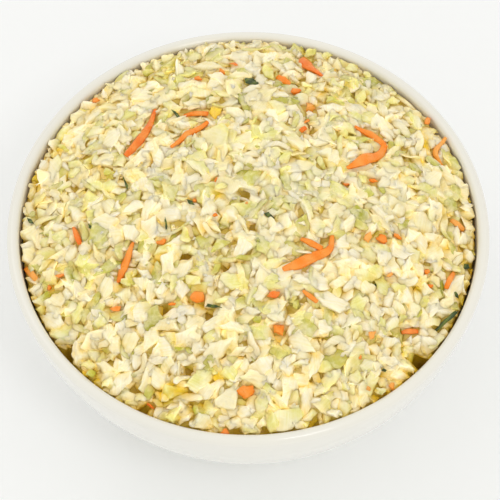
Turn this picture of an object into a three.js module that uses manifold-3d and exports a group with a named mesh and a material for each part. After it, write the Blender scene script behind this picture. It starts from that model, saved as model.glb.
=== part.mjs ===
// A plain white round bowl, heaped above its rim with finely chopped coleslaw.
// Units are millimetres and +Z is up. The origin is the middle of the foot ring's flat underside.
import * as THREE from "three";
import { mergeVertices } from "three/addons/utils/BufferGeometryUtils.js";
import Module from "manifold-3d";

const wasm = await Module();
wasm.setup();

const DEGREE = Math.PI / 180;
const GOLDEN_ANGLE = Math.PI * (3 - Math.sqrt(5));
const TINY = 0.1; // tells the heap's edge from what lies above or below it
const WELD = 1e-4; // vertices closer than this are one

// Bowl
const RIM_RADIUS = 80; // outside radius at the rim
const BOWL_HEIGHT = 66;
const WALL = 4;
const RIM_LEAN = 4.5 * DEGREE; // how far the wall leans out from upright where it meets the rim
const FOOT_HEIGHT = 3;
const FOOT_WIDTH = 3.5; // width of the ring that the bowl stands on
const FOOT_CHAMFER = 1; // how far the ring narrows towards its flat underside
const FOOT_NECK = 0.4; // how far its outside draws in under the wall
const FLOOR_HEIGHT = 8; // inside floor above the table
const BOWL_FACETS = 48; // round the axis
const WALL_STEPS = 7; // from rim to floor
const RIM_STEPS = 5; // over the rounded rim

// Heap of slaw
const GAP = 0.5; // clear space between the slaw and the bowl
const CORE_GAP = 0.8; // the same, for the core alone
const EDGE_DROP = 5; // how far below the rim the heap meets the wall
const CROWN_RISE = 12; // how far its middle stands above the rim, without the pieces
const CROWN_POWER = 2.3; // over 2 makes the middle of the heap flatter
const FAR_LIFT = 3; // how much higher the heap meets the wall at its far side, towards +Y
const FAR_POWER = 3; // how fast that fades towards the middle
const CORE_FACETS = 24;
const CORE_RINGS = 4; // from the wall to the middle of the heap
const BUMP_HEIGHT = 0.9;
const BUMP_LENGTH = 7; // about the size of one chopped piece
const OVERHANG = 3; // how far pieces may lie over the rim's rounded top
const HEADROOM = 48; // air above the rim that pieces may stand in

// Chopped pieces
const SEED = 17;
const PIECES = 188;
const SPOT_STRIDE = 89; // shares no factor with PIECES, so stepping by it reaches every spot once
const EDGE_MARGIN = 2.5; // from a piece's centre to the wall
const JITTER = 1.6;
const SUNK = 0.3; // share of a piece's thickness that lies in the core
const LEAST_TILT = 0.1; // as a slope
const MOST_TILT = 0.45;
const SLOPE_STEP = 0.5; // over which the heap's own slope is measured
const LARGEST_SCALE = 1.3; // the first pieces laid are the largest
const SMALLEST_SCALE = 0.85;

// Sizes of the chopped pieces, each from its least to its most
const CHUNK_LENGTH = [7.5, 11.5];
const CHUNK_WIDTH = [5.5, 8];
const CHUNK_THICKNESS = [2.4, 3.8];
const CHUNK_CORNERS = 5;
const CORNER_SHIFT = [-0.3, 0.3]; // along the outline, as a share of the way to the next corner
const CORNER_REACH = [0.8, 1.15]; // out from the middle, as a share of half the size
const CHUNK_TAPER = [0.75, 0.95]; // size of the top against the bottom
const CHUNK_SLOPE = [-0.18, 0.18]; // of the top face
const FLAKE_LENGTH = [9, 12];
const FLAKE_WIDTH = [6.5, 9];
const FLAKE_THICKNESS = [1.1, 1.4];
const FLAKE_CURL = [0.6, 1.6]; // height of the wave along the leaf
const FLAKE_CUP = 3; // how much more it bends across than along
const FLAKE_TAPER = [0.1, 0.5]; // how much narrower one end is
const FLAKE_COLUMNS = 3;
const FLAKE_ROWS = 2;
const CABBAGE_SHRED = { length: [10, 15], width: [2.4, 3.4], thickness: [1.6, 2.2] };
const CARROT_SHRED = { length: [13, 18], width: [2.4, 2.9], thickness: [1.5, 2] };
const SHRED_BEND = [-0.22, 0.22]; // to the side, as a share of the length
const SHRED_RISE = [0.02, 0.1]; // upwards, as a share of the length
const SHRED_SKEW = [-0.1, 0.1]; // of the bend's place along the shred, as a share of the length
const SHRED_STEPS = 3;

// Heights and radii worked out from the above
const ARC_RADIUS = RIM_RADIUS / Math.cos(RIM_LEAN);
const RIM_ROLL_HEIGHT = BOWL_HEIGHT - WALL / 2;
const ARC_CENTRE = RIM_ROLL_HEIGHT + ARC_RADIUS * Math.sin(RIM_LEAN);
const INNER_RADIUS = ARC_RADIUS - WALL;
const HEAP_EDGE = BOWL_HEIGHT - EDGE_DROP;

// The same random numbers on every run (mulberry32).
function seededRandom(seed) {
  let state = seed;
  return () => {
    state = (state + 0x6d2b79f5) | 0;
    let t = Math.imul(state ^ (state >>> 15), 1 | state);
    t = (t + Math.imul(t ^ (t >>> 7), 61 | t)) ^ t;
    return ((t ^ (t >>> 14)) >>> 0) / 4294967296;
  };
}

const random = seededRandom(SEED);
const between = (low, high) => low + (high - low) * random();
const oneOf = ([low, high]) => between(low, high);

// A point of the bowl's wall: radius from the centre of its arc, angle down from the horizontal.
function wallPoint(radius, angle) {
  return new THREE.Vector2(radius * Math.cos(angle), ARC_CENTRE - radius * Math.sin(angle));
}

// The angle at which an arc of that radius passes a height.
function angleAt(radius, height) {
  return Math.asin((ARC_CENTRE - height) / radius);
}

function arcPoints(radius, from, to, steps) {
  return Array.from({ length: steps + 1 }, (_, i) => wallPoint(radius, from + ((to - from) * i) / steps));
}

// Turns a profile of (radius, height) points about the Z axis.
function turned(profile, facets) {
  return new THREE.LatheGeometry(profile, facets).rotateX(Math.PI / 2);
}

function bowlGeometry() {
  const footAngle = angleAt(ARC_RADIUS, FOOT_HEIGHT);
  const floorAngle = angleAt(INNER_RADIUS, FLOOR_HEIGHT);
  const footOuter = wallPoint(ARC_RADIUS, footAngle).x;
  const footInner = footOuter - FOOT_WIDTH;
  const rollCentre = wallPoint(ARC_RADIUS - WALL / 2, RIM_LEAN);
  const roll = Array.from({ length: RIM_STEPS - 1 }, (_, i) => {
    const turn = -RIM_LEAN + (Math.PI * (i + 1)) / RIM_STEPS;
    return new THREE.Vector2(
      rollCentre.x + (WALL / 2) * Math.cos(turn),
      rollCentre.y + (WALL / 2) * Math.sin(turn),
    );
  });
  return turned(
    [
      new THREE.Vector2(0, FOOT_HEIGHT),
      new THREE.Vector2(footInner - FOOT_CHAMFER, FOOT_HEIGHT),
      new THREE.Vector2(footInner, 0),
      new THREE.Vector2(footOuter - FOOT_CHAMFER, 0),
      new THREE.Vector2(footOuter - FOOT_NECK, FOOT_HEIGHT / 2),
      ...arcPoints(ARC_RADIUS, footAngle, RIM_LEAN, WALL_STEPS),
      ...roll,
      ...arcPoints(INNER_RADIUS, RIM_LEAN, floorAngle, WALL_STEPS),
      new THREE.Vector2(0, FLOOR_HEIGHT),
    ],
    BOWL_FACETS,
  );
}

// Where the heap's core meets the wall.
const edgeRadius = wallPoint(INNER_RADIUS - CORE_GAP, angleAt(INNER_RADIUS - CORE_GAP, HEAP_EDGE)).x;

// Height of the heap's rounded surface at a distance from the axis, before its far side is lifted.
function crownHeight(radius) {
  const inward = 1 - Math.min(1, radius / edgeRadius) ** CROWN_POWER;
  return HEAP_EDGE + (EDGE_DROP + CROWN_RISE) * inward;
}

function farLift(y) {
  return FAR_LIFT * Math.max(0, y / edgeRadius) ** FAR_POWER;
}

// Uneven swelling of the heap, as the pieces just under the surface make it: two slow waves that cross.
function bump(x, y) {
  const k = (2 * Math.PI) / BUMP_LENGTH;
  const rows = Math.sin(k * x * 0.5 + 1.7 * Math.sin(k * y * 0.31));
  const columns = Math.sin(k * y * 0.53 + 1.3 * Math.sin(k * x * 0.27 + 2));
  return BUMP_HEIGHT * rows * columns;
}

// A profile that follows the bowl's floor and wall at a distance, from the axis outwards and up to a height.
function slawUnderside(gap, topHeight) {
  const radius = INNER_RADIUS - gap;
  const low = angleAt(radius, FLOOR_HEIGHT + gap);
  const high = angleAt(radius, topHeight);
  return [new THREE.Vector2(0, FLOOR_HEIGHT + gap), ...arcPoints(radius, low, high, WALL_STEPS)];
}

// The body of the heap, without the pieces that show.
function coreGeometry() {
  const dome = Array.from({ length: CORE_RINGS }, (_, i) => {
    const radius = edgeRadius * (1 - (i + 1) / CORE_RINGS);
    return new THREE.Vector2(radius, crownHeight(radius));
  });
  const core = turned([...slawUnderside(CORE_GAP, HEAP_EDGE), ...dome], CORE_FACETS);
  const place = core.getAttribute("position");
  for (let i = 0; i < place.count; i++) {
    const [x, y, z] = [place.getX(i), place.getY(i), place.getZ(i)];
    const lift = z > HEAP_EDGE - TINY ? farLift(y) : 0;
    const swelling = z > HEAP_EDGE + TINY ? bump(x, y) : 0;
    place.setZ(i, z + lift + swelling);
  }
  return core;
}

// All the space that slaw may fill: the bowl's inside, and the air above it out to near the rim's edge.
function roomGeometry() {
  const rollTop = BOWL_HEIGHT + GAP;
  const mouth = wallPoint(INNER_RADIUS - GAP, RIM_LEAN).x;
  const outer = mouth + OVERHANG;
  const above = BOWL_HEIGHT + HEADROOM;
  return turned(
    [
      ...slawUnderside(GAP, RIM_ROLL_HEIGHT),
      new THREE.Vector2(mouth, rollTop),
      new THREE.Vector2(outer, rollTop),
      new THREE.Vector2(outer, above),
      new THREE.Vector2(0, above),
    ],
    BOWL_FACETS,
  );
}

// A diced bit of thick leaf rib: an uneven five-sided block, smaller on top than below.
function chunkGeometry(scale) {
  const length = scale * oneOf(CHUNK_LENGTH);
  const width = scale * oneOf(CHUNK_WIDTH);
  const thickness = scale * oneOf(CHUNK_THICKNESS);
  const corners = Array.from({ length: CHUNK_CORNERS }, (_, i) => {
    const angle = ((i + oneOf(CORNER_SHIFT)) * 360 * DEGREE) / CHUNK_CORNERS;
    const reach = oneOf(CORNER_REACH);
    return new THREE.Vector2((length / 2) * reach * Math.cos(angle), (width / 2) * reach * Math.sin(angle));
  });
  const block = new THREE.ExtrudeGeometry(new THREE.Shape(corners), {
    depth: thickness,
    bevelEnabled: false,
  });
  const taper = oneOf(CHUNK_TAPER);
  const slope = oneOf(CHUNK_SLOPE);
  const place = block.getAttribute("position");
  for (let i = 0; i < place.count; i++) {
    const [x, y, z] = [place.getX(i), place.getY(i), place.getZ(i)];
    if (z > 0) place.setXYZ(i, x * taper, y * taper, z + slope * x);
  }
  return block;
}

// A flake of cabbage leaf: a thin wavy sheet, its two faces split into triangles alike.
function flakeGeometry(scale) {
  const length = scale * oneOf(FLAKE_LENGTH);
  const width = scale * oneOf(FLAKE_WIDTH);
  const thickness = oneOf(FLAKE_THICKNESS);
  const curl = oneOf(FLAKE_CURL);
  const phase = between(0, Math.PI);
  const taper = oneOf(FLAKE_TAPER);
  const vertices = [];
  for (const side of [0, 1]) {
    for (let row = 0; row <= FLAKE_ROWS; row++) {
      for (let column = 0; column <= FLAKE_COLUMNS; column++) {
        const [u, v] = [column / FLAKE_COLUMNS - 0.5, row / FLAKE_ROWS - 0.5];
        const wave = curl * Math.cos(2 * Math.PI * u + phase) + FLAKE_CUP * curl * v * v;
        vertices.push(u * length, v * width * (1 - taper * (u + 0.5)), wave + (side - 0.5) * thickness);
      }
    }
  }
  return sheetGeometry(vertices, FLAKE_COLUMNS, FLAKE_ROWS);
}

// Joins two grids of vertices, the lower one first, into a closed sheet.
function sheetGeometry(vertices, columns, rows) {
  const across = columns + 1;
  const upper = across * (rows + 1);
  const index = [];
  for (let row = 0; row < rows; row++) {
    for (let column = 0; column < columns; column++) {
      const a = row * across + column;
      const [b, c, d] = [a + 1, a + across + 1, a + across];
      index.push(a, c, b, a, d, c);
      index.push(upper + a, upper + b, upper + c, upper + a, upper + c, upper + d);
    }
  }
  const edge = [];
  for (let column = 0; column < columns; column++) edge.push(column);
  for (let row = 0; row < rows; row++) edge.push(row * across + columns);
  for (let column = columns; column > 0; column--) edge.push(rows * across + column);
  for (let row = rows; row > 0; row--) edge.push(row * across);
  edge.forEach((from, i) => {
    const to = edge[(i + 1) % edge.length];
    index.push(from, to, upper + to, from, upper + to, upper + from);
  });
  const sheet = new THREE.BufferGeometry();
  sheet.setAttribute("position", new THREE.Float32BufferAttribute(vertices, 3));
  sheet.setIndex(index);
  return sheet;
}

// A shred: a bar with four sides, bent along a curve.
function shredGeometry(size, scale) {
  const length = scale * oneOf(size.length);
  const w = oneOf(size.width) / 2;
  const t = oneOf(size.thickness) / 2;
  const bend = oneOf(SHRED_BEND) * length;
  const rise = oneOf(SHRED_RISE) * length;
  const path = new THREE.QuadraticBezierCurve3(
    new THREE.Vector3(-length / 2, 0, 0),
    new THREE.Vector3(oneOf(SHRED_SKEW) * length, bend, rise),
    new THREE.Vector3(length / 2, 0, 0),
  );
  const section = new THREE.Shape([
    new THREE.Vector2(-t, -w),
    new THREE.Vector2(t, -w),
    new THREE.Vector2(t, w),
    new THREE.Vector2(-t, w),
  ]);
  return new THREE.ExtrudeGeometry(section, { steps: SHRED_STEPS, extrudePath: path });
}

const cabbageShred = (scale) => shredGeometry(CABBAGE_SHRED, scale);
const carrotShred = (scale) => shredGeometry(CARROT_SHRED, scale);

// What each piece is, repeated along the order in which the pieces are laid.
const MIX = [
  chunkGeometry,
  flakeGeometry,
  chunkGeometry,
  cabbageShred,
  chunkGeometry,
  chunkGeometry,
  carrotShred,
];

// Lays a piece on the heap at a point, tilted and turned at random.
function lay(geometry, x, y) {
  geometry.computeBoundingBox();
  const { min, max } = geometry.boundingBox;
  const radius = Math.hypot(x, y);
  const slope = (crownHeight(radius - SLOPE_STEP) - crownHeight(radius + SLOPE_STEP)) / (2 * SLOPE_STEP);
  const upright = new THREE.Vector3(0, 0, 1);
  const outward = new THREE.Vector3(x, y, 0).normalize();
  const up = outward.multiplyScalar(slope).add(upright).normalize();
  const sideways = new THREE.Vector3(between(-1, 1), between(-1, 1), 0);
  up.add(sideways.multiplyScalar(between(LEAST_TILT, MOST_TILT))).normalize();
  const onto = new THREE.Quaternion().setFromUnitVectors(upright, up);
  const yaw = new THREE.Quaternion().setFromAxisAngle(upright, between(0, 2 * Math.PI));
  const height = crownHeight(radius) + farLift(y) + bump(x, y) - SUNK * (max.z - min.z);
  const matrix = new THREE.Matrix4().compose(
    new THREE.Vector3(x, y, height),
    onto.multiply(yaw),
    new THREE.Vector3(1, 1, 1),
  );
  return geometry.translate(0, 0, -min.z).applyMatrix4(matrix);
}

// The pieces that show, the largest first, each spread in golden-angle order over the whole heap.
function choppedPieces() {
  return Array.from({ length: PIECES }, (_, i) => {
    const spot = (i * SPOT_STRIDE) % PIECES;
    const scale = LARGEST_SCALE + ((SMALLEST_SCALE - LARGEST_SCALE) * i) / PIECES;
    const radius = (edgeRadius - EDGE_MARGIN) * Math.sqrt((spot + 0.5) / PIECES);
    const angle = spot * GOLDEN_ANGLE;
    const x = radius * Math.cos(angle) + between(-JITTER, JITTER);
    const y = radius * Math.sin(angle) + between(-JITTER, JITTER);
    return lay(MIX[i % MIX.length](scale), x, y);
  });
}

// A closed geometry as a solid for joining and cutting.
function solid(geometry) {
  const bare = geometry.clone();
  bare.deleteAttribute("normal");
  bare.deleteAttribute("uv");
  const merged = mergeVertices(bare, WELD);
  return new wasm.Manifold(
    new wasm.Mesh({
      numProp: 3,
      vertProperties: new Float32Array(merged.getAttribute("position").array),
      triVerts: new Uint32Array(merged.index.array),
    }),
  );
}

function geometryOf(manifold) {
  const { vertProperties, triVerts } = manifold.getMesh();
  const geometry = new THREE.BufferGeometry();
  geometry.setAttribute("position", new THREE.BufferAttribute(vertProperties, 3));
  geometry.setIndex(new THREE.BufferAttribute(triVerts, 1));
  geometry.computeVertexNormals();
  return geometry;
}

// The largest body alone, which drops loose scraps and fills hollows that the joining sealed.
function largestBody(manifold) {
  return manifold.decompose().reduce((best, body) => (body.volume() > best.volume() ? body : best));
}

// Joins a list of solids two by two.
function joined(solids) {
  let left = solids;
  while (left.length > 1) {
    const pairs = [];
    for (let i = 0; i < left.length; i += 2) {
      pairs.push(i + 1 < left.length ? left[i].add(left[i + 1]) : left[i]);
    }
    left = pairs;
  }
  return left[0];
}

function slawGeometry() {
  const heap = solid(coreGeometry()).add(joined(choppedPieces().map(solid)));
  return geometryOf(largestBody(heap.intersect(solid(roomGeometry()))));
}

function namedMesh(name, geometry, material) {
  const mesh = new THREE.Mesh(geometry, material);
  mesh.name = name;
  return mesh;
}

const glaze = new THREE.MeshStandardMaterial({ color: 0xf1f0ec, roughness: 0.18, metalness: 0 });
const dressedCabbage = new THREE.MeshStandardMaterial({ color: 0xe9e6bd, roughness: 0.4, metalness: 0 });

const coleslaw = new THREE.Group();
coleslaw.add(namedMesh("bowl", bowlGeometry(), glaze));
coleslaw.add(namedMesh("slaw", slawGeometry(), dressedCabbage));

export default coleslaw;
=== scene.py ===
# Coleslaw heaped in a plain white bowl: the glazed bowl, and the chopped pieces one by one.
# The heap is worked out in millimetres and becomes metres where its meshes are made.
import math

import bpy
import numpy as np
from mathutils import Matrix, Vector


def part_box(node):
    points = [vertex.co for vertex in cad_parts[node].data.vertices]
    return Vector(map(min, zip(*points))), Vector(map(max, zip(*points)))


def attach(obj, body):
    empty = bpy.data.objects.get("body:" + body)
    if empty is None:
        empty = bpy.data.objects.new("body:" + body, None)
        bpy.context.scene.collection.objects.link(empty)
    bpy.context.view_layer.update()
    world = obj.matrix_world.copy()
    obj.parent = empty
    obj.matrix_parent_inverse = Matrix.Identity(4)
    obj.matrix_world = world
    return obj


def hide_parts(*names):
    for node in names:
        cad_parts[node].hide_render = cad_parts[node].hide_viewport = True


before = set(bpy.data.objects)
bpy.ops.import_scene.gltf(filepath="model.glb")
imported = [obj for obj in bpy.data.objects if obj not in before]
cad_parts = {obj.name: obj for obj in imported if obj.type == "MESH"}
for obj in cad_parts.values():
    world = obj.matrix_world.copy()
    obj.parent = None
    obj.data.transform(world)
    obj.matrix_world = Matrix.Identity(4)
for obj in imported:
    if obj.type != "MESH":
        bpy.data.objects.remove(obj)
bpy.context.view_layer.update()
rng = np.random.default_rng(20)

MM = 0.001

# Bowl, as its solid is
BOWL_LOW, BOWL_HIGH = (np.array(corner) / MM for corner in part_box("bowl"))
RIM_RADIUS = (BOWL_HIGH[0] - BOWL_LOW[0]) / 2
BOWL_HEIGHT = BOWL_HIGH[2]
WALL = 4
RIM_LEAN = math.radians(4.5)
FOOT_HEIGHT = 3
FOOT_WIDTH = 3.5
FLOOR_HEIGHT = 8
FOOT_SLOPE = 1.0  # how far each side of the foot ring leans over its height
UNDER_ROUNDING, FOOT_ROUNDING, WALL_ROUNDING = 0.8, 0.6, 0.5
WALL_STEPS = 48
ROLL_STEPS = 16
BOWL_SEGMENTS = 256

ARC_RADIUS = (RIM_RADIUS - WALL / 2) / math.cos(RIM_LEAN) + WALL / 2
ROLL_HEIGHT = BOWL_HEIGHT - WALL / 2
ARC_CENTRE = ROLL_HEIGHT + (ARC_RADIUS - WALL / 2) * math.sin(RIM_LEAN)
INNER_RADIUS = ARC_RADIUS - WALL

# Heap
GAP = 0.5  # clear space between the slaw's core and the bowl
WALL_CLEARANCE = 0.3  # clear space between the loose pieces and the bowl's wall
RIM_CLEARANCE = 0.4  # pieces this far above the rim may lie over it
RIM_MARGIN = 1  # but no nearer to its outside than this
HEAP_EDGE = BOWL_HEIGHT - 5  # height at which the heap meets the wall
CROWN_RISE = 17  # its middle above its edge
CROWN_POWER = 2.3
FAR_LIFT = 3.0  # how much higher the heap meets the wall at its far side
SURFACE_LIFT = 1.6  # how far the chopped pieces stand above that rounded surface, on average
PILE_DEPTH = 6.5  # how deep the loose pieces lie on the core
DRESSING_DEPTH = 1.3  # how far below the pieces' tops the dressing that fills their creases lies
PAINTED_SHADE_START = 0.5  # how far below the tops the painted shade begins to darken and yellow the pieces
PAINTED_SHADE_DEPTH = 3.0  # how much further down that painted shade is full
CORE_RINGS = 120
CORE_WALL_STEPS = 12
CORE_SEGMENTS = 520
CORE_EDGE_DROP = 1  # how far below the heap's edge the core meets the wall
LOWER_LAYER = -0.5  # mean height, from the rounded surface, up to which cabbage lies under the rest
UPPER_LAYER = 0.6  # and up to which it lies around the coloured pieces

# Gaps between the pieces: pixel and width of those that show best, then many small ones
DARK_GAPS = (
    ((419, 358), 3.4), ((69, 350), 2.2), ((133, 388), 2.2), ((143, 409), 1.8), ((186, 427), 1.8),
    ((236, 433), 2.0), ((190, 368), 1.8), ((315, 423), 2.0), ((264, 432), 1.8), ((290, 307), 1.6),
    ((225, 230), 1.9), ((252, 226), 1.6), ((189, 255), 1.6), ((226, 267), 1.8), ((165, 307), 2.2),
    ((303, 78), 1.6), ((404, 148), 1.8),
)
SMALL_GAPS = 34
SMALL_GAP_WIDTH = 1.0
GAP_DEPTH = 3.2
GAP_LENGTH = 1.7  # times its width
OPEN_SHARE = 0.86  # of its depth, past which no piece lies over a gap

# Height map on which the pieces come to rest
PITCH = 0.6
HALF_MAP = 85
SLOPE_REACH = 4  # cells to each side between which its slope is read
STEEPEST = 0.9
AVOIDANCE = 8  # how much higher a kept-clear place counts when a piece looks for a low one
COVER_SHARE = 0.06  # of a piece, that may lie over what is kept clear
BATCH = 40

# Camera: the rim's centre stands at this pixel of the 500 pixel frame, seen from this far
FRAME_PIXELS = 500
FOCAL_PIXELS = 2410
VIEW_DISTANCE = 800
VIEW_ELEVATION = math.radians(58.9)
RIM_CENTRE_PIXEL = (248.3, 229.4)


def linear(red, green, blue):
    """A screen colour, 0 to 255, as light."""
    share = np.array([red, green, blue]) / 255
    return np.where(share <= 0.04045, share / 12.92, ((share + 0.055) / 1.055) ** 2.4)


# Colours
CREAM = linear(249, 242, 221)
IVORY = linear(248, 239, 205)
BUTTER = linear(245, 233, 182)
PALE_GREEN = linear(234, 229, 150)
LIME = linear(206, 202, 100)
LIME_DEEP = linear(182, 180, 56)
WATERY = linear(240, 236, 204)
# Yellow of juice in random patches on the dressing, and the colour of the painted shade deep among the pieces
JUICE_AND_SHADE = linear(248, 217, 66)
STREAK = linear(251, 249, 230)
DRESSING = linear(245, 232, 166)
# Colour of the dressing in painted shade, deep among the pieces
DRESSING_IN_SHADE = linear(182, 148, 36)
CARROT = linear(255, 140, 24)
CARROT_PALE = linear(255, 176, 84)
CARROT_DEEP = linear(248, 118, 12)
DARK_LEAF = linear(44, 66, 22)
DARK_LEAF_EDGE = linear(124, 142, 56)
SWEETCORN = linear(255, 220, 70)
CABBAGE_FILM = linear(250, 242, 212)
CARROT_FILM = linear(255, 190, 110)
LEAF_FILM = linear(150, 165, 110)
GLAZE = linear(236, 234, 227)
GLAZE_LIGHT = linear(240, 238, 230)
FLOOR = linear(249, 251, 255)
FLOOR_LIGHT = linear(250, 252, 255)


# Bowl
def wall_point(radius, angle):
    """A point of the bowl's wall: radius from the centre of its arc, angle down from the horizontal."""
    return radius * math.cos(angle), ARC_CENTRE - radius * math.sin(angle)


def angle_at(radius, height):
    return math.asin((ARC_CENTRE - height) / radius)


def arc(radius, start, end, steps):
    return [wall_point(radius, start + (end - start) * i / steps) for i in range(steps + 1)]


def round_corner(before, corner, after, radius, steps=5):
    """Points that round off a corner of a profile."""
    here = Vector(corner)
    start = here + (Vector(before) - here).normalized() * radius
    end = here + (Vector(after) - here).normalized() * radius
    shares = [i / steps for i in range(steps + 1)]
    return [tuple(start.lerp(here, t).lerp(here.lerp(end, t), t)) for t in shares]


def bowl_profile():
    """The bowl's section from the middle of its underside, over the rim, to the middle of its floor."""
    foot_angle = angle_at(ARC_RADIUS, FOOT_HEIGHT)
    floor_angle = angle_at(INNER_RADIUS, FLOOR_HEIGHT)
    foot_outer = wall_point(ARC_RADIUS, foot_angle)[0]
    foot_inner = foot_outer - FOOT_WIDTH
    under = (foot_inner - FOOT_SLOPE, FOOT_HEIGHT)
    inner_low = (foot_inner, 0.0)
    outer_low = (foot_outer - FOOT_SLOPE, 0.0)
    outer_high = (foot_outer, FOOT_HEIGHT)
    outer_wall = arc(ARC_RADIUS, foot_angle, RIM_LEAN, WALL_STEPS)
    inner_wall = arc(INNER_RADIUS, RIM_LEAN, floor_angle, WALL_STEPS)
    centre = wall_point(ARC_RADIUS - WALL / 2, RIM_LEAN)
    roll = []
    for i in range(1, ROLL_STEPS):
        turn = -RIM_LEAN + math.pi * i / ROLL_STEPS
        roll.append((centre[0] + WALL / 2 * math.cos(turn), centre[1] + WALL / 2 * math.sin(turn)))
    profile = [(0.0, FOOT_HEIGHT), (foot_inner * 0.5, FOOT_HEIGHT)]
    profile += round_corner(profile[-1], under, inner_low, UNDER_ROUNDING)
    profile += round_corner(under, inner_low, outer_low, FOOT_ROUNDING)
    profile += round_corner(inner_low, outer_low, outer_high, FOOT_ROUNDING)
    profile += round_corner(outer_low, outer_high, outer_wall[2], WALL_ROUNDING)
    profile += outer_wall[2:] + roll + inner_wall
    profile += [(inner_wall[-1][0] * 0.5, FLOOR_HEIGHT), (0.0, FLOOR_HEIGHT)]
    return profile


def turned(name, profile, segments):
    """Turns a profile whose ends lie on the axis about Z, as a mesh object."""
    rows = np.array(profile[1:-1])
    turn = np.linspace(0, 2 * math.pi, segments, endpoint=False)
    x = rows[:, :1] * np.cos(turn)
    y = rows[:, :1] * np.sin(turn)
    z = np.repeat(rows[:, 1:], segments, axis=1)
    ends = np.array([[0, 0, profile[0][1]], [0, 0, profile[-1][1]]])
    points = np.vstack([np.stack([x, y, z], 2).reshape(-1, 3), ends])
    return mesh_object(name, points, ring_faces(len(rows), segments)[:, ::-1])


# Meshes
def ring_faces(rings, samples):
    """Triangles of a closed skin of rings of points, each end closed by a last and a next-to-last point."""
    ring = np.arange(rings - 1)[:, None] * samples
    here = np.arange(samples)
    then = (here + 1) % samples
    a, b = ring + here, ring + then
    c, d = a + samples, b + samples
    sides = np.stack([a, c, d, a, d, b], 2).reshape(-1, 3)
    first = rings * samples
    last = first + 1
    top = np.stack([np.full(samples, first), here, then], 1)
    base = (rings - 1) * samples
    low = np.stack([np.full(samples, last), base + then, base + here], 1)
    return np.vstack([sides, top, low])


def mesh_object(name, points, faces, tint=None, **values):
    """A smooth mesh from arrays of points in millimetres and triangles, with its colour and any other
    named values at each point."""
    mesh = bpy.data.meshes.new(name)
    mesh.vertices.add(len(points))
    mesh.vertices.foreach_set("co", (points * MM).astype(np.float32).ravel())
    mesh.loops.add(faces.size)
    mesh.loops.foreach_set("vertex_index", faces.astype(np.int32).ravel())
    mesh.polygons.add(len(faces))
    mesh.polygons.foreach_set("loop_start", np.arange(0, faces.size, 3, dtype=np.int32))
    mesh.polygons.foreach_set("use_smooth", np.ones(len(faces), dtype=bool))
    mesh.update(calc_edges=True)
    if tint is not None:
        layer = mesh.color_attributes.new("tint", "FLOAT_COLOR", "POINT")
        colours = np.hstack([tint, np.ones((len(tint), 1))])
        layer.data.foreach_set("color", colours.astype(np.float32).ravel())
    for label, value in values.items():
        mesh.attributes.new(label, "FLOAT", "POINT").data.foreach_set("value", value.astype(np.float32))
    piece = bpy.data.objects.new(name, mesh)
    bpy.context.scene.collection.objects.link(piece)
    return piece


# Camera
def camera_axes():
    """The eye, and the directions right, up and forward of the camera."""
    rim_centre = Vector((0, 0, ROLL_HEIGHT))
    back = Vector((0, -math.cos(VIEW_ELEVATION), math.sin(VIEW_ELEVATION)))
    eye = rim_centre + back * VIEW_DISTANCE
    up = Vector((0, math.sin(VIEW_ELEVATION), math.cos(VIEW_ELEVATION)))
    across = (FRAME_PIXELS / 2 - RIM_CENTRE_PIXEL[0]) / FOCAL_PIXELS
    down = (FRAME_PIXELS / 2 - RIM_CENTRE_PIXEL[1]) / FOCAL_PIXELS
    forward = (-back + Vector((across, 0, 0)) - up * down).normalized()
    right = forward.cross(Vector((0, 0, 1))).normalized()
    return eye, right, right.cross(forward), forward


EYE, RIGHT, UP, FORWARD = camera_axes()


def make_camera():
    data = bpy.data.cameras.new("camera")
    data.sensor_width = 36
    data.lens = FOCAL_PIXELS / FRAME_PIXELS * data.sensor_width
    data.clip_start = 0.05
    data.clip_end = 20
    camera = bpy.data.objects.new("camera", data)
    camera.location = EYE * MM
    camera.rotation_euler = FORWARD.to_track_quat("-Z", "Y").to_euler()
    bpy.context.scene.collection.objects.link(camera)
    bpy.context.scene.camera = camera


# Heap's form
def heap_height(x, y):
    inward = 1 - np.minimum(1, np.hypot(x, y) / HEAP_RADIUS) ** CROWN_POWER
    far = np.maximum(0, y / HEAP_RADIUS) ** 3
    return HEAP_EDGE + CROWN_RISE * inward + FAR_LIFT * far


HEAP_RADIUS = wall_point(INNER_RADIUS, angle_at(INNER_RADIUS, HEAP_EDGE))[0]


def wall_height(radius):
    """Height of the bowl's inside, or of its rounded rim, at a distance from the axis."""
    inside = ARC_CENTRE - np.sqrt(np.maximum(0, INNER_RADIUS**2 - radius**2))
    roll_middle = wall_point(ARC_RADIUS - WALL / 2, RIM_LEAN)
    off = np.clip(np.abs(radius - roll_middle[0]), 0, WALL / 2)
    roll = roll_middle[1] + np.sqrt((WALL / 2) ** 2 - off**2)
    return np.where(radius < INNER_RADIUS * math.cos(RIM_LEAN), np.maximum(inside, FLOOR_HEIGHT), roll)


def inner_radius(height):
    """How far a piece may reach from the axis at a height."""
    drop = np.maximum(0, ARC_CENTRE - height)
    inside = np.sqrt(np.maximum(0, INNER_RADIUS**2 - drop**2)) - WALL_CLEARANCE
    return np.where(height > BOWL_HEIGHT + RIM_CLEARANCE, RIM_RADIUS - RIM_MARGIN, inside)


def swell(x, y):
    """Gentle unevenness of the heap, a few pieces wide."""
    long_waves = np.sin(x / 7.3 + 1.9 * np.sin(y / 13)) * np.sin(y / 6.1 + 1.3 * np.sin(x / 11 + 2))
    short_waves = np.sin(x / 3.1 + y / 5.3 + 4) * np.sin(y / 2.9 - x / 6.7)
    return 0.6 * long_waves + 0.2 * short_waves


MAP_SIZE = int(2 * HALF_MAP / PITCH)
MAP_AXIS = (np.arange(MAP_SIZE) + 0.5) * PITCH - HALF_MAP
MAP_X, MAP_Y = np.meshgrid(MAP_AXIS, MAP_AXIS, indexing="ij")
MAP_RADIUS = np.hypot(MAP_X, MAP_Y)
INSIDE = MAP_RADIUS < HEAP_RADIUS


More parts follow.
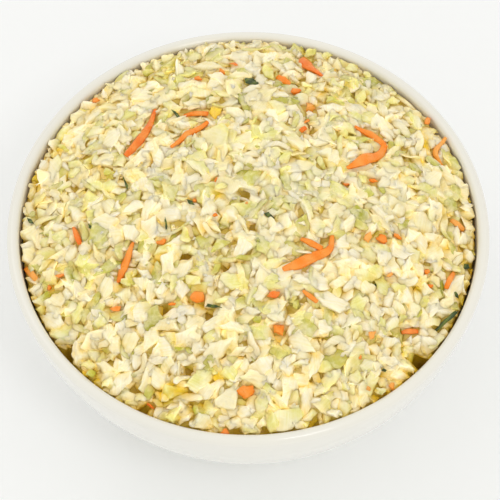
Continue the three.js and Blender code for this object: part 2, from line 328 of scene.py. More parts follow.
def on_heap(pixel):
    """The point of the heap that a pixel of the photograph shows."""
    across = (pixel[0] - FRAME_PIXELS / 2) / FOCAL_PIXELS
    down = (pixel[1] - FRAME_PIXELS / 2) / FOCAL_PIXELS
    ray = FORWARD + RIGHT * across - UP * down
    height = BOWL_HEIGHT
    for _ in range(6):
        point = EYE + ray * ((height - EYE.z) / ray.z)
        height = float(heap_height(point.x, point.y)) + SURFACE_LIFT
    return np.array([point.x, point.y, height])


def random_spots(count):
    """Random points all over the heap."""
    radius = (HEAP_RADIUS - 1) * np.sqrt(rng.uniform(0, 1, count))
    turn = rng.uniform(0, 2 * math.pi, count)
    return np.stack([radius * np.cos(turn), radius * np.sin(turn), 0 * turn], 1)


def gaps():
    """How far the heap is sunk, where deeper gaps between the pieces show."""
    spots = [(on_heap(pixel), width) for pixel, width in DARK_GAPS]
    spots += [(spot, SMALL_GAP_WIDTH * rng.uniform(0.7, 1.3)) for spot in random_spots(SMALL_GAPS)]
    sunk = np.zeros_like(MAP_X)
    for (x, y, _), width in spots:
        turn = rng.uniform(0, math.pi)
        along = (MAP_X - x) * math.cos(turn) + (MAP_Y - y) * math.sin(turn)
        across = (MAP_Y - y) * math.cos(turn) - (MAP_X - x) * math.sin(turn)
        away = (along / GAP_LENGTH) ** 2 + across**2
        sunk = np.maximum(sunk, GAP_DEPTH * np.exp(-((away / (width / 2) ** 2) ** 2) / 2))
    return sunk


SUNK = gaps()
OPEN = SUNK > OPEN_SHARE * GAP_DEPTH
TARGET = heap_height(MAP_X, MAP_Y) + SURFACE_LIFT + swell(MAP_X, MAP_Y) - SUNK
ground = np.maximum(TARGET - PILE_DEPTH, wall_height(MAP_RADIUS))
kept_clear = np.zeros_like(ground)  # 1 where a piece already laid must stay in sight


def cells(points):
    index = ((points[:, :2] + HALF_MAP) / PITCH).astype(int)
    return np.clip(index, 1, MAP_SIZE - 2).T


def over(points, faces):
    """Points all over a piece, close enough to cover the height map without holes."""
    corners = points[faces]
    middle = corners.mean(1)
    return np.vstack([points, middle] + [(corners[:, k] + middle) / 2 for k in range(3)])


# Shapes of the chopped pieces, each centred on its own middle
def outline(corner_count, samples):
    """An uneven polygon about 2 across: points evenly along its edge, its corners among them."""
    turn = (np.arange(corner_count) + rng.uniform(-0.33, 0.33, corner_count)) * 2 * math.pi / corner_count
    reach = rng.uniform(0.6, 1.15, corner_count)[:, None]
    corners = reach * np.stack([np.cos(turn), np.sin(turn)], 1)
    closed = np.vstack([corners, corners[:1]])
    along = np.concatenate([[0], np.cumsum(np.linalg.norm(np.diff(closed, axis=0), axis=1))])
    spots = np.linspace(0, along[-1], samples, endpoint=False)
    nearest = np.abs(spots[None] - along[:-1, None]).argmin(1)
    spots[nearest] = along[:-1]
    edge = np.stack([np.interp(spots, along, closed[:, k]) for k in (0, 1)], 1)
    ragged = 0.05 * np.sin(spots * 5.1 + wobble()) + 0.04 * np.sin(spots * 9.7 + wobble())
    edge = edge * (1 + ragged[:, None])
    return edge - edge.mean(0)


# Rings of a chopped bit from the middle of its top to the middle of its underside:
# share of the outline, inset from it in rounding radii, height in half thicknesses.
CHUNK_RINGS = (
    (0.4, 0, 1.0), (0.76, 0, 1.02), (1, 0.9, 0.95), (1, 0.3, 0.68),
    (1, 0, 0.15), (1, 0, -0.45), (1, 0.35, -0.88), (0.7, 0, -1.0),
)
DICE_RINGS = ((0.55, 0, 1.0), (1, 0.8, 0.93), (1, 0.2, 0.6), (1, 0, -0.4), (1, 0.5, -0.9))
FLAKE_RINGS = ((0.36, 0, 1.0), (0.7, 0, 1.0), (1, 0.7, 0.9), (1, 0, 0.0), (1, 0.7, -0.9), (0.6, 0, -1.0))
CRUMB_RINGS = ((0.55, 0, 1.0), (1, 0.5, 0.8), (1, 0, 0.0), (1, 0.5, -0.8))
CHUNK_SAMPLES, DICE_SAMPLES, FLAKE_SAMPLES, CRUMB_SAMPLES = 18, 15, 20, 12


def bit(rings, samples, length, width, thickness, rounding, curl, ripple, lumps=0.12, crease=0.0):
    """A chopped bit: an uneven outline, rounded at its edge, bent along its length, creased and rippled."""
    edge = outline(rng.integers(4, 7), samples) * (length / 2, width / 2)
    reach = np.linalg.norm(edge, axis=1, keepdims=True)
    layers = []
    for share, inset, level in rings:
        scale = share * np.maximum(0.3, 1 - inset * rounding / reach)
        height = np.full((samples, 1), level * thickness / 2)
        layers.append(np.hstack([edge * scale, height]))
    ends = np.array([[0, 0, rings[0][2]], [0, 0, rings[-1][2]]]) * thickness / 2
    points = np.vstack(layers + [ends])
    x, y, z = points.T.copy()
    # Wedge or lens, with slanted and wavy sides
    lens = 1 - rng.uniform(0.0, 0.35) * (x / length * 2) ** 2 + rng.uniform(-0.4, 0.4) * x / length * 2
    slant = rng.uniform(-0.5, 0.5, 2)
    x = x + slant[0] * z + 0.12 * np.sin(y * 1.9 + z * 2.3 + wobble())
    y = y + slant[1] * z + 0.12 * np.sin(x * 1.7 + z * 2.1 + wobble())
    # Rippled and lumpy
    z = z * lens + ripple * np.sin(x * rng.uniform(0.6, 1.2) + wobble()) * np.cos(y * 0.6 + wobble())
    z = z + lumps * np.sin(x * 1.7 + y * 1.1 + wobble()) * np.sin(y * 1.9 - x * 0.6 + wobble())
    # Creased along a line
    fold = wobble()
    across = x * math.cos(fold) + y * math.sin(fold) + rng.uniform(-0.15, 0.15) * length
    z = z - crease * (np.sqrt(across**2 + 0.15) - 0.2 * length)
    points = bent(np.stack([x, y, z], 1), length, curl, rng.uniform(0, math.pi))
    return points, ring_faces(len(rings), samples)


def wobble():
    """A random angle."""
    return rng.uniform(0, 2 * math.pi)


def bent(points, length, curl, turn):
    """Bends a piece by curl radians from end to end, about a direction in its plane."""
    if abs(curl) < 0.05:
        return points
    radius = length / curl
    c, s = math.cos(turn), math.sin(turn)
    u = points[:, 0] * c + points[:, 1] * s
    v = points[:, 1] * c - points[:, 0] * s
    reach = radius - points[:, 2]
    u_bent = reach * np.sin(u / radius)
    z_bent = radius - reach * np.cos(u / radius)
    return np.stack([u_bent * c - v * s, u_bent * s + v * c, z_bent - z_bent.mean()], 1)


def tube(path, widths, thicknesses, flat_up):
    """A shred: a rounded flat section swept along a path. flat_up is the direction its flat side faces."""
    sides = 8
    along = np.gradient(path, axis=0)
    along /= np.linalg.norm(along, axis=1, keepdims=True)
    across = np.cross(flat_up, along)
    across /= np.linalg.norm(across, axis=1, keepdims=True)
    normal = np.cross(along, across)
    turn = (np.arange(sides) + 0.5) * 2 * math.pi / sides
    round_x = np.sign(np.cos(turn)) * np.abs(np.cos(turn)) ** 0.7
    round_y = np.sign(np.sin(turn)) * np.abs(np.sin(turn)) ** 0.7
    rings = path[:, None] + across[:, None] * (widths[:, None] * round_x / 2)[:, :, None]
    rings = rings + normal[:, None] * (thicknesses[:, None] * round_y / 2)[:, :, None]
    ends = np.array([path[0] - along[0] * 0.2, path[-1] + along[-1] * 0.2])
    return np.vstack([rings.reshape(-1, 3), ends]), ring_faces(len(path), sides)[:, ::-1]


def shred(length, width, thickness, bend, steps=11):
    """A loose shred, bent to one side and a little twisted."""
    t = np.linspace(-1, 1, steps)
    sideways = bend * length * (t * t - 0.33) + 0.05 * length * np.sin(3 * t + wobble())
    lift = 0.05 * length * np.sin(2.5 * t + wobble())
    path = np.stack([t * length / 2, sideways, lift], 1)
    taper = 1 - 0.3 * np.abs(t) ** 3
    flat_up = np.stack([0 * t, np.sin(0.6 * t), np.cos(0.6 * t)], 1)
    ends = np.where(np.abs(t) == 1, 0.75, 1)
    return tube(path, width * taper * ends, thickness * (0.6 + 0.4 * taper) * ends, flat_up)


# Kinds of pieces, in millimetres, with width and thickness as shares of the length where they depend on it
BLOCK_THICKNESS = 2.2
LEAF_THICKNESS = 0.5


def chunk():
    length = 6.8 + 6.6 * rng.beta(1.2, 2.2)
    size = (length, length * rng.uniform(0.42, 0.8), min(2.9, length * rng.uniform(0.22, 0.36)))
    curl = rng.uniform(-0.3, 0.8)
    return bit(CHUNK_RINGS, CHUNK_SAMPLES, *size, rounding=0.4, curl=curl, ripple=0.2, lumps=0.3, crease=0.12)


def dice():
    length = rng.uniform(4.2, 7.2)
    size = (length, length * rng.uniform(0.5, 0.85), length * rng.uniform(0.25, 0.42))
    curl = rng.uniform(-0.2, 0.5)
    return bit(DICE_RINGS, DICE_SAMPLES, *size, rounding=0.35, curl=curl, ripple=0.1, lumps=0.2, crease=0.08)


def flake(length=None):
    if length is None:
        length = 6.2 + 8.4 * rng.beta(1.3, 1.9)
    size = (length, length * rng.uniform(0.4, 0.85), rng.uniform(0.5, 1.1))
    curl, ripple, crease = rng.uniform(-1.2, 2.0), rng.uniform(0.1, 0.5), rng.uniform(0, 0.45)
    return bit(FLAKE_RINGS, FLAKE_SAMPLES, *size, rounding=0.25, curl=curl, ripple=ripple, crease=crease)


def strip():
    length, width = rng.uniform(6, 12), rng.uniform(1.6, 3.2)
    return shred(length, width, thickness=rng.uniform(0.7, 1.2), bend=rng.uniform(-0.2, 0.2))


def crumb():
    length = rng.uniform(1.6, 4.0)
    size = (length, length * rng.uniform(0.5, 0.9), rng.uniform(0.8, 1.8))
    return bit(CRUMB_RINGS, CRUMB_SAMPLES, *size, rounding=0.45, curl=0.1, ripple=0.05)


def block(length):
    """A thicker bit of carrot or sweetcorn."""
    size = (length, length * 0.85, BLOCK_THICKNESS)
    return bit(CHUNK_RINGS, CHUNK_SAMPLES, *size, rounding=0.5, curl=0.05, ripple=0.1)


def carrot_crumb():
    length = rng.uniform(2.0, 5.0)
    size = (length, length * rng.uniform(0.4, 0.8), rng.uniform(0.8, 1.8))
    return bit(CRUMB_RINGS, CRUMB_SAMPLES, *size, rounding=0.4, curl=0.1, ripple=0.1)


LEAF_COLOURS = (
    (CREAM, 0.2), (IVORY, 0.22), (BUTTER, 0.17), (PALE_GREEN, 0.24), (LIME, 0.14), (LIME_DEEP, 0.06),
)
RIB_COLOURS = ((CREAM, 0.42), (IVORY, 0.28), (WATERY, 0.04), (BUTTER, 0.12), (PALE_GREEN, 0.14))


def pick(colours):
    shares = np.array([share for _, share in colours])
    return colours[rng.choice(len(colours), p=shares / shares.sum())][0]


def mixed_tint(points, colours, change=0.7):
    """A colour at each point, going from one of the colours to another along the piece."""
    first, second = pick(colours), pick(colours)
    turn = wobble()
    along = points[:, 0] * math.cos(turn) + points[:, 1] * math.sin(turn)
    share = (along - along.min()) / max(np.ptp(along), 1e-6)
    start = rng.uniform(0.1, 0.7)
    share = change * np.clip((share - start) / 0.35, 0, 1)[:, None]
    return (first * (1 - share) + second * share) * rng.uniform(0.96, 1.02)


def rotation(normal, yaw):
    """Turns Z to a direction after a turn about Z."""
    normal = normal / np.linalg.norm(normal)
    side = np.array([math.cos(yaw), math.sin(yaw), 0.0])
    side = side - normal * side.dot(normal)
    side = side / np.linalg.norm(side)
    return np.stack([side, np.cross(normal, side), normal], 1)


laid = {}  # kind: list of (points, faces, tint)


def settle(points, sink):
    """Lowers a piece onto the height map: a few of its points may press into what lies below."""
    index = cells(points)
    lift = ground[index[0], index[1]] - points[:, 2]
    return np.percentile(lift, sink)


def keep_inside(points):
    """Moves a piece towards the axis until none of it crosses the bowl's wall."""
    radius = np.hypot(points[:, 0], points[:, 1])
    excess = (radius - inner_radius(points[:, 2])).max()
    if excess <= 0:
        return points
    middle = points[:, :2].mean(0)
    points[:, :2] -= middle / np.linalg.norm(middle) * excess
    return points


def store(kind, points, faces, tint):
    spots = over(points, faces)
    index = cells(spots)
    np.maximum.at(ground, tuple(index), spots[:, 2])
    laid.setdefault(kind, []).append((points, faces, tint))


def drop(kind, shape, colours, tilt, sink=44, spots=32):
    """Lays one piece where the heap is lowest among a few random spots, along its slope with some tilt."""
    places = random_spots(spots)
    index = cells(places)
    need = (ground - TARGET)[index[0], index[1]] + AVOIDANCE * kept_clear[index[0], index[1]]
    place = places[need.argmin()]
    points, faces = shape()
    i, j = cells(place[None])[:, 0]
    reach = SLOPE_REACH
    i, j = np.clip([i, j], reach, MAP_SIZE - 1 - reach)
    slope_x = (ground[i + reach, j] - ground[i - reach, j]) / (2 * reach * PITCH)
    slope_y = (ground[i, j + reach] - ground[i, j - reach]) / (2 * reach * PITCH)
    slope = np.clip([slope_x, slope_y], -STEEPEST, STEEPEST)
    normal = np.array([-slope[0], -slope[1], 1.0])
    normal[:2] += rng.normal(0, tilt, 2)
    points = points @ rotation(normal, wobble()).T
    points += place
    points[:, 2] += settle(points, sink)
    points = keep_inside(points)
    index = cells(points)
    if kept_clear[index[0], index[1]].mean() > COVER_SHARE or OPEN[index[0], index[1]].any():
        return
    store(kind, points, faces, mixed_tint(points, colours))


# Loose pieces: kind, how it is shaped, its colours, how much it tilts, its share of the pieces
MIX = (
    ("cabbage_chunks", chunk, RIB_COLOURS, 0.14, 0.28),
    ("cabbage_dice", dice, RIB_COLOURS, 0.2, 0.2),
    ("cabbage_flakes", flake, LEAF_COLOURS, 0.13, 0.38),
    ("cabbage_strips", strip, LEAF_COLOURS, 0.16, 0.07),
    ("cabbage_crumbs", crumb, RIB_COLOURS, 0.25, 0.07),
)


def mean_level():
    return (ground - TARGET)[INSIDE].mean()


def fill_heap(level):
    """Lays pieces until the heap's mean height comes up to a level above or below its target."""
    shares = [share for *_, share in MIX]
    while mean_level() < level:
        for i in rng.choice(len(MIX), BATCH, p=shares):
            drop(*MIX[i][:-1])


# Places read from the photograph, in its pixels
def eased(row, rounds):
    """Smooths a row of values or points between its ends, which stay."""
    for _ in range(rounds):
        row[1:-1] = (row[:-2] + 2 * row[1:-1] + row[2:]) / 4
    return row


def smooth_path(pixels, step=0.9):
    """A rounded path on the heap through some pixels."""
    spots = np.array([on_heap(pixel) for pixel in pixels])
    if len(spots) > 2:
        middles = (spots[:-1] + spots[1:]) / 2
        spots = np.vstack([spots[:1], middles[:1], spots[1:-1], middles[-1:], spots[-1:]])
    along = np.concatenate([[0], np.cumsum(np.linalg.norm(np.diff(spots, axis=0), axis=1))])
    count = max(5, int(along[-1] / step) + 1)
    at = np.linspace(0, along[-1], count)
    path = np.stack([np.interp(at, along, spots[:, k]) for k in range(3)], 1)
    return eased(path, 8)


def carrot_tint(points):
    first = pick(((CARROT, 0.6), (CARROT_DEEP, 0.15), (CARROT_PALE, 0.25)))
    share = 0.5 + 0.5 * np.sin(points[:, 0] * 0.9 + points[:, 1] * 0.7 + wobble())
    return first + (CARROT_PALE - first) * (0.35 * share[:, None])


def lay_shred(kind, pixels, widths, thickness, tint_of, sink=0.3):
    """A shred that lies along some pixels, bent over what it rests on."""
    path = smooth_path(pixels)
    index = cells(path)
    rest = eased(ground[index[0], index[1]].copy(), 4)
    path[:, 2] = rest + thickness * (0.5 - sink)
    t = np.linspace(0, 1, len(path))
    width = np.interp(t, np.linspace(0, 1, len(widths)), widths)
    thin = 1 - 0.5 * np.abs(2 * t - 1) ** 4
    lean = rng.uniform(-0.5, 0.5) + rng.uniform(-0.5, 0.5) * (2 * t - 1)
    flat_up = np.stack([lean, 0 * t - 0.2, 1 + 0 * t], 1)
    points, faces = tube(path, width, thickness * thin, flat_up)
    points = keep_inside(points)
    store(kind, points, faces, tint_of(points))
    guard(points, faces)


def guard(points, faces):
    """Marks where a piece lies, so that those laid after it leave it in sight."""
    kept_clear[tuple(cells(over(points, faces)))] = 1


def lay_bit(kind, shape, pixel, tint_of, tilt=0.25, sink=88):
    """One bit whose middle a pixel shows."""
    points, faces = shape
    normal = np.array([rng.normal(0, tilt), rng.normal(0, tilt) - 0.1, 1.0])
    points = points @ rotation(normal, wobble()).T
    points += on_heap(pixel) * (1, 1, 0)
    points[:, 2] += settle(points, sink)
    points = keep_inside(points)
    store(kind, points, faces, tint_of(points))
    guard(points, faces)


# Carrot shreds: pixels along each, then its widths from end to end in millimetres
CARROT_SHREDS = (
    (((155, 108), (149, 127), (139, 141), (126, 156)), (1.2, 2.6, 3.4, 2.2)),
    (((184, 114), (196, 111), (208, 113)), (1.0, 1.9, 1.6)),
    (((208, 123), (190, 133), (171, 147)), (1.4, 2.4, 1.2)),
    (((133, 242), (125, 263), (118, 281)), (1.0, 2.2, 3.2, 1.6)),
    (((300, 57), (308, 66), (322, 77)), (4.0, 4.4, 2.2, 1.2)),
    (((277, 76), (290, 85)), (1.6, 2.8, 1.4)),
    (((355, 127), (372, 134), (385, 144)), (0.9, 2.6, 2.2)),
    (((385, 144), (381, 154), (366, 161), (347, 168)), (2.4, 3.0, 4.2, 1.0)),
    (((449, 141), (437, 151), (446, 165)), (1.2, 2.0, 1.4)),
    (((332, 234), (331, 250), (309, 259), (283, 270)), (1.6, 2.6, 3.8, 4.0, 1.6)),
    (((301, 237), (312, 243), (322, 248)), (1.4, 2.3, 1.8)),
    (((303, 291), (317, 303)), (1.0, 1.8, 1.4)),
    (((451, 219), (464, 229)), (1.4, 2.3, 1.8)),
    (((454, 272), (446, 289)), (1.2, 2.1, 1.6)),
    (((74, 229), (80, 244)), (1.4, 2.1, 1.6)),
    (((402, 331), (418, 330)), (1.2, 2.0, 1.4)),
    (((24, 266), (35, 280)), (1.6, 2.4, 2.0)),
)
SHRED_THICKNESS = 1.2
CARROT_BITS = (
    (198, 78), (222, 73), (234, 66), (96, 102), (216, 180), (195, 200), (246, 204), (215, 216),
    (116, 309), (161, 241), (296, 92), (307, 122), (303, 130), (373, 180), (440, 117), (346, 183),
    (368, 239), (382, 239), (397, 236), (274, 295), (372, 337), (360, 358), (430, 286), (427, 272),
    (390, 275), (392, 386), (369, 391), (61, 275), (49, 287), (172, 304), (151, 405), (225, 432),
)
CARROT_BLOCKS = (((310, 107), 4.6), ((246, 392), 6.2), ((198, 298), 5.4), ((279, 330), 5.2))
LEAF_BITS = (
    (((243, 83), (260, 81)), 3.4), (((173, 113), (181, 120)), 1.4), (((123, 180), (129, 190)), 1.2),
    (((186, 200), (195, 204)), 1.8), (((165, 217), (167, 231)), 1.0), (((28, 219), (33, 226)), 2.4),
    (((18, 243), (26, 247)), 1.8), (((263, 214), (275, 217)), 3.4), (((204, 305), (221, 307)), 1.3),
    (((371, 282), (380, 285)), 1.6), (((380, 369), (388, 371)), 1.4), (((457, 311), (434, 336)), 2.2),
    (((464, 264), (469, 269)), 2.2), (((88, 225), (94, 231)), 1.0), (((454, 293), (459, 300)), 1.6),
)
YELLOW_BIT = (215, 113)

# Greenest scraps of cabbage leaf: pixel of the middle, length in millimetres
LIME_SCRAPS = (
    ((108, 174), 5.4), ((126, 284), 4.8), ((64, 150), 5.0), ((148, 72), 4.4), ((135, 272), 5.0),
    ((196, 412), 4.6), ((180, 349), 4.0), ((296, 303), 4.0), ((258, 319), 4.2), ((254, 122), 4.4),
    ((220, 245), 9.5), ((381, 396), 4.4), ((32, 215), 3.2), ((86, 385), 4.4), ((321, 163), 5.0),
)
GREENISH_SCRAPS = (
    ((182, 199), 5.6), ((185, 235), 8.0), ((89, 365), 6.0), ((268, 73), 7.0), ((306, 87), 4.6),
    ((354, 67), 9.0), ((367, 75), 5.0), ((327, 55), 4.6), ((361, 98), 6.0), ((393, 101), 6.5),
    ((343, 134), 4.8), ((193, 282), 7.5), ((216, 268), 5.0), ((222, 300), 7.0), ((313, 47), 6.0),
)


def lime_tint(points):
    return mixed_tint(points, ((LIME, 0.6), (LIME_DEEP, 0.4)))


def greenish_tint(points):
    return mixed_tint(points, ((LIME, 0.3), (PALE_GREEN, 0.7)))


def sweetcorn_tint(points):
    return SWEETCORN * rng.uniform(0.96, 1.0, (len(points), 1))


def leaf_tint(points):
    share = 0.5 + 0.5 * np.sin(points[:, 0] * 2.3 - points[:, 1] * 1.8 + wobble())
    return DARK_LEAF + (DARK_LEAF_EDGE - DARK_LEAF) * (0.7 * share[:, None] ** 3)


def lay_leaf(kind, pixels, width, tint_of):
    """A thin crinkled scrap of leaf from one pixel to another."""
    first, last = (on_heap(pixel) for pixel in pixels)
    along = last - first
    length = np.linalg.norm(along[:2])
    size = (length, width, LEAF_THICKNESS)
    curl = rng.uniform(-0.5, 0.9)
    points, faces = bit(FLAKE_RINGS, FLAKE_SAMPLES, *size, rounding=0.15, curl=curl, ripple=0.25)
    points[:, 0] *= length / np.ptp(points[:, 0])
    normal = np.array([rng.normal(0, 0.25), rng.normal(0, 0.25) - 0.2, 1.0])
    points = points @ rotation(normal, math.atan2(along[1], along[0])).T
    points += (first + last) / 2 * (1, 1, 0)
    points[:, 2] += settle(points, 80)
    points = keep_inside(points)
    store(kind, points, faces, tint_of(points))
    guard(points, faces)


def lay_colourful_pieces():
    for pixels, widths in CARROT_SHREDS:
        lay_shred("carrot_shreds", pixels, widths, SHRED_THICKNESS, carrot_tint)
    for pixel in CARROT_BITS:
        lay_bit("carrot_bits", carrot_crumb(), pixel, carrot_tint)
    for pixel, size in CARROT_BLOCKS:
        lay_bit("carrot_bits", block(size), pixel, carrot_tint)
    for pixels, width in LEAF_BITS:
        lay_leaf("dark_leaf_bits", pixels, width, leaf_tint)
    for pixel, length in LIME_SCRAPS:
        lay_bit("cabbage_flakes", flake(length), pixel, lime_tint)
    for pixel, length in GREENISH_SCRAPS:
        lay_bit("cabbage_flakes", flake(length), pixel, greenish_tint)
    lay_bit("sweetcorn_bit", block(5.2), YELLOW_BIT, sweetcorn_tint)


def spread(heights, choose):
    """The highest, or lowest, height among each cell of the map and its neighbours."""
    for axis in (0, 1):
        beside = choose(np.roll(heights, 1, axis), np.roll(heights, -1, axis))
        heights = choose(heights, beside)
    return heights


def smoothed(heights, rounds):
    result = heights.copy()
    for _ in range(rounds):
        for axis in (0, 1):
            result = (np.roll(result, 1, axis) + 2 * result + np.roll(result, -1, axis)) / 4
    return result


# Laying the heap
fill_heap(LOWER_LAYER)
lay_colourful_pieces()
fill_heap(UPPER_LAYER)
top = smoothed(spread(spread(ground, np.maximum), np.maximum), 2)


def soaked(points, start):
    """How much painted shade points get, darkening and yellowing them more the deeper they lie under the tops
    around them, from a starting depth down.
    """
    index = cells(points)
    depth = top[index[0], index[1]] - points[:, 2]
    return np.clip((depth - start) / PAINTED_SHADE_DEPTH, 0, 1)


def in_sight(points):
    """Share of a piece's points that nothing lies on."""
    index = cells(points)
    return (points[:, 2] > ground[index[0], index[1]] - 0.5).mean()


# Materials
def new_material(name):
    material = bpy.data.materials.new(name)
    material.use_nodes = True
    tree = material.node_tree
    return material, tree, tree.nodes["Principled BSDF"]


def add_noise(tree, scale, detail, roughness=0.5):
    """Noise in object space, scale in features per metre."""
    where = tree.nodes.new("ShaderNodeTexCoord")
    noise = tree.nodes.new("ShaderNodeTexNoise")
    noise.inputs["Scale"].default_value = scale
    noise.inputs["Detail"].default_value = detail
    noise.inputs["Roughness"].default_value = roughness
    tree.links.new(where.outputs["Object"], noise.inputs["Vector"])
    return noise.outputs["Fac"]


def add_ramp(tree, source, start, end, low=0.0, high=1.0):
    ramp = tree.nodes.new("ShaderNodeMapRange")
    ramp.inputs["From Min"].default_value = start
    ramp.inputs["From Max"].default_value = end
    ramp.inputs["To Min"].default_value = low
    ramp.inputs["To Max"].default_value = high
    tree.links.new(source, ramp.inputs["Value"])
    return ramp.outputs["Result"]


def add_attribute(tree, name, output):
    """What a mesh holds at each point under a name."""
    attribute = tree.nodes.new("ShaderNodeAttribute")
    attribute.attribute_name = name
    return attribute.outputs[output]


def add_streaks(tree, scale):
    """Fine parallel streaks across each piece, as cut fibres show."""
    noise = tree.nodes.new("ShaderNodeTexNoise")
    noise.noise_dimensions = "1D"
    noise.inputs["Scale"].default_value = scale
    noise.inputs["Detail"].default_value = 2
    tree.links.new(add_attribute(tree, "fibre", "Fac"), noise.inputs["W"])
    return noise.outputs["Fac"]


def add_mix(tree, share, first, second, blend="MIX"):
    """Mixes two colours. Each is a socket, or a plain colour."""
    mix = tree.nodes.new("ShaderNodeMix")
    mix.data_type = "RGBA"
    mix.blend_type = blend
    colour_inputs = [socket for socket in mix.inputs if socket.type == "RGBA"]
    tree.links.new(share, mix.inputs["Factor"])
    for value, socket in zip((first, second), colour_inputs):
        if isinstance(value, bpy.types.NodeSocket):
            tree.links.new(value, socket)
        else:
            socket.default_value = (*value, 1)
    return next(socket for socket in mix.outputs if socket.type == "RGBA")


def add_bump(tree, shader, height, distance, strength):
    bump = tree.nodes.new("ShaderNodeBump")
    bump.inputs["Distance"].default_value = distance
    bump.inputs["Strength"].default_value = strength
    tree.links.new(height, bump.inputs["Height"])
    tree.links.new(bump.outputs["Normal"], shader.inputs["Normal"])


def moist_material(name, film, film_share, gloss, glow):
    """A moist cut surface in its own colours, with patches of dressing film, and painted shade that darkens
    and yellows it where it lies deep.
    gloss is its lowest roughness, and glow how much light goes through it."""
    material, tree, shader = new_material(name)
    patches = add_ramp(tree, add_noise(tree, 260, 3, 0.6), 0.42, 0.62, 0.0, film_share)
    streaks = add_streaks(tree, 1.6)
    grain = add_ramp(tree, add_noise(tree, 1100, 2), 0.35, 0.7, 0.0, 0.3)
    fibrous = add_mix(
        tree, add_ramp(tree, streaks, 0.4, 0.66), add_attribute(tree, "tint", "Color"), STREAK, "MULTIPLY"
    )
    coated = add_mix(tree, patches, fibrous, film)
    grained = add_mix(tree, grain, coated, STREAK, "MULTIPLY")
    # Painted shade: the colour is multiplied darker and yellower where a point lies deep under the tops
    # around it
    shaded_below = add_mix(tree, add_attribute(tree, "soak", "Fac"), grained, JUICE_AND_SHADE, "MULTIPLY")
    tree.links.new(shaded_below, shader.inputs["Base Color"])
    rough = add_ramp(tree, add_noise(tree, 420, 2), 0.3, 0.7, gloss, gloss + 0.22)
    tree.links.new(rough, shader.inputs["Roughness"])
    shader.inputs["IOR"].default_value = 1.38
    shader.inputs["Subsurface Weight"].default_value = glow
    shader.subsurface_method = "BURLEY"
    shader.inputs["Subsurface Radius"].default_value = (1.0, 0.95, 0.6)
    shader.inputs["Subsurface Scale"].default_value = 0.0028
    shader.inputs["Coat Weight"].default_value = 0.25
    shader.inputs["Coat Roughness"].default_value = 0.12
    furrows = add_ramp(tree, streaks, 0.0, 1.0, 0.3, 0.7)
    relief = add_mix(tree, add_noise(tree, 420, 3, 0.55), furrows, (1, 1, 1))
    add_bump(tree, shader, relief, 0.0006, 0.3)
    return material


def glaze_material():
    material, tree, shader = new_material("white_glaze")
    cloud = add_noise(tree, 14, 3)
    share = add_ramp(tree, cloud, 0.3, 0.7)
    glaze = add_mix(tree, share, GLAZE, GLAZE_LIGHT)
    tree.links.new(glaze, shader.inputs["Base Color"])
    rough = add_ramp(tree, add_noise(tree, 60, 2), 0.3, 0.7, 0.1, 0.17)
    tree.links.new(rough, shader.inputs["Roughness"])
    shader.inputs["Coat Weight"].default_value = 0.35
    shader.inputs["Coat Roughness"].default_value = 0.05
    shader.inputs["IOR"].default_value = 1.5
    add_bump(tree, shader, add_noise(tree, 30, 2), 0.0004, 0.12)
    return material


def dressing_material():
    material, tree, shader = new_material("dressing")
    share = add_ramp(tree, add_noise(tree, 240, 4, 0.6), 0.4, 0.7, 0.0, 0.25)
    tint = add_attribute(tree, "tint", "Color")
    tree.links.new(add_mix(tree, share, tint, JUICE_AND_SHADE, "MULTIPLY"), shader.inputs["Base Color"])
    rough = add_ramp(tree, add_noise(tree, 300, 2), 0.3, 0.7, 0.18, 0.4)
    tree.links.new(rough, shader.inputs["Roughness"])
    shader.inputs["IOR"].default_value = 1.33
    shader.subsurface_method = "BURLEY"
    shader.inputs["Subsurface Weight"].default_value = 0.5
    shader.inputs["Subsurface Radius"].default_value = (1.0, 0.95, 0.7)
    shader.inputs["Subsurface Scale"].default_value = 0.0015
    add_bump(tree, shader, add_noise(tree, 900, 3), 0.0003, 0.5)
    return material


def floor_material():
    material, tree, shader = new_material("pale_floor")
    share = add_ramp(tree, add_noise(tree, 3, 3), 0.3, 0.7)
    tree.links.new(add_mix(tree, share, FLOOR, FLOOR_LIGHT), shader.inputs["Base Color"])
    shader.inputs["Roughness"].default_value = 0.7
    return material


# Pieces
def merge(kind):
    """Joins the pieces of one kind that show into one mesh."""
    points, faces, tints, fibres = [], [], [], []
    count = 0
    for piece_points, piece_faces, tint in laid[kind]:
        if in_sight(piece_points) < 0.05:
            continue
        points.append(piece_points)
        faces.append(piece_faces + count)
        tints.append(tint)
        turn = wobble()
        along_fibres = piece_points[:, 0] * math.cos(turn) + piece_points[:, 1] * math.sin(turn)
        fibres.append(along_fibres + rng.uniform(0, 100))
        count += len(piece_points)
    points, faces = np.vstack(points), np.vstack(faces)
    # Painted shade at each point, from how deep it lies under the tops around it
    soak = soaked(points, PAINTED_SHADE_START)
    print(kind, len(tints), "pieces,", len(faces), "triangles")
    return mesh_object(kind, points, faces, np.vstack(tints), soak=soak, fibre=np.concatenate(fibres))


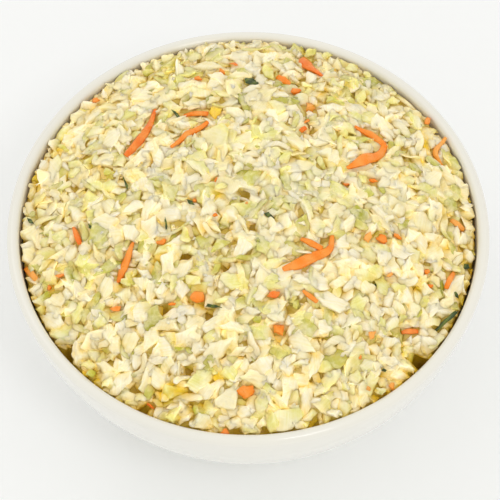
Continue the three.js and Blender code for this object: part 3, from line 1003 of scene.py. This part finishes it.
def core_mesh():
    """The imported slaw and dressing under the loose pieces, from the bowl's wall up."""
    filled = spread(ground, np.maximum)
    for _ in range(2):
        filled = spread(filled, np.minimum)
    filled = smoothed(filled, 1)
    turn = np.linspace(0, 2 * math.pi, CORE_SEGMENTS, endpoint=False)
    rings = []
    outer = INNER_RADIUS - GAP
    low_angle = angle_at(outer, FLOOR_HEIGHT + GAP)
    high_angle = angle_at(outer, HEAP_EDGE - CORE_EDGE_DROP)
    edge_radius = wall_point(outer, high_angle)[0]
    for i in range(CORE_RINGS):
        radius = edge_radius * (i + 1) / (CORE_RINGS + 1)
        spots = np.stack([radius * np.cos(turn), radius * np.sin(turn), 0 * turn], 1)
        index = cells(spots)
        spots[:, 2] = filled[index[0], index[1]] - DRESSING_DEPTH
        rings.append(spots)
    for radius, height in arc(outer, high_angle, low_angle, CORE_WALL_STEPS):
        rings.append(np.stack([radius * np.cos(turn), radius * np.sin(turn), height + 0 * turn], 1))
    middle = rings[0][:, 2].mean()
    ends = np.array([[0, 0, middle], [0, 0, FLOOR_HEIGHT + GAP]])
    points = np.vstack(rings + [ends])
    soak = soaked(points, DRESSING_DEPTH)
    # Painted shade: the dressing turns darker and yellower with depth under the pieces' tops
    tint = DRESSING * (DRESSING_IN_SHADE / DRESSING) ** soak[:, None]
    return mesh_object("slaw_core", points, ring_faces(len(rings), CORE_SEGMENTS), tint)


def finish_piece(piece, material):
    piece.data.materials.append(material)
    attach(piece, "root")


# Light and floor
AIM = (0.05, 0.02, 0.05)
KEY_PLACE, KEY_SIZE, KEY_POWER = (0.26, -0.5, 1.0), 0.25, 1.0
FILL_PLACE, FILL_SIZE, FILL_POWER = (-0.5, 0.4, 1.0), 0.5, 0.5
SURROUNDINGS_COLOUR, SURROUNDINGS_STRENGTH = (1, 0.985, 0.93, 1), 0.91
HALF_FLOOR = 4


def make_light(name, place, size, power):
    data = bpy.data.lights.new(name, "AREA")
    data.shape = "DISK"
    data.size = size
    data.energy = power
    light = bpy.data.objects.new(name, data)
    light.location = place
    light.rotation_euler = (Vector(AIM) - Vector(place)).to_track_quat("-Z", "Y").to_euler()
    bpy.context.scene.collection.objects.link(light)


def make_stage():
    world = bpy.data.worlds.new("studio")
    world.use_nodes = True
    surroundings = world.node_tree.nodes["Background"]
    surroundings.inputs["Color"].default_value = SURROUNDINGS_COLOUR
    surroundings.inputs["Strength"].default_value = SURROUNDINGS_STRENGTH
    bpy.context.scene.world = world
    make_light("key", KEY_PLACE, KEY_SIZE, KEY_POWER)
    make_light("fill", FILL_PLACE, FILL_SIZE, FILL_POWER)
    corners = HALF_FLOOR * np.array([[-1, -1, 0], [1, -1, 0], [1, 1, 0], [-1, 1, 0]]) / MM
    floor = mesh_object("floor", corners, np.array([[0, 1, 2], [0, 2, 3]]))
    floor.data.materials.append(floor_material())
    scene = bpy.context.scene
    scene.view_settings.view_transform = "Standard"
    scene.view_settings.look = "None"
    scene.cycles.diffuse_bounces = 10  # light that goes to and fro in the creases gives them their yellow


make_camera()
make_stage()

bowl = turned("bowl_glazed", bowl_profile(), BOWL_SEGMENTS)
finish_piece(bowl, glaze_material())
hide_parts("bowl")

core = core_mesh()
finish_piece(core, dressing_material())
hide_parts("slaw")

cabbage = moist_material("dressed_cabbage", CABBAGE_FILM, film_share=0.5, gloss=0.25, glow=0.9)
carrot = moist_material("dressed_carrot", CARROT_FILM, film_share=0.25, gloss=0.2, glow=0.3)
dark_leaf = moist_material("dressed_dark_leaf", LEAF_FILM, film_share=0.12, gloss=0.2, glow=0.1)
for kind, *_ in MIX:
    finish_piece(merge(kind), cabbage)
finish_piece(merge("carrot_shreds"), carrot)
finish_piece(merge("carrot_bits"), carrot)
finish_piece(merge("dark_leaf_bits"), dark_leaf)
finish_piece(merge("sweetcorn_bit"), carrot)
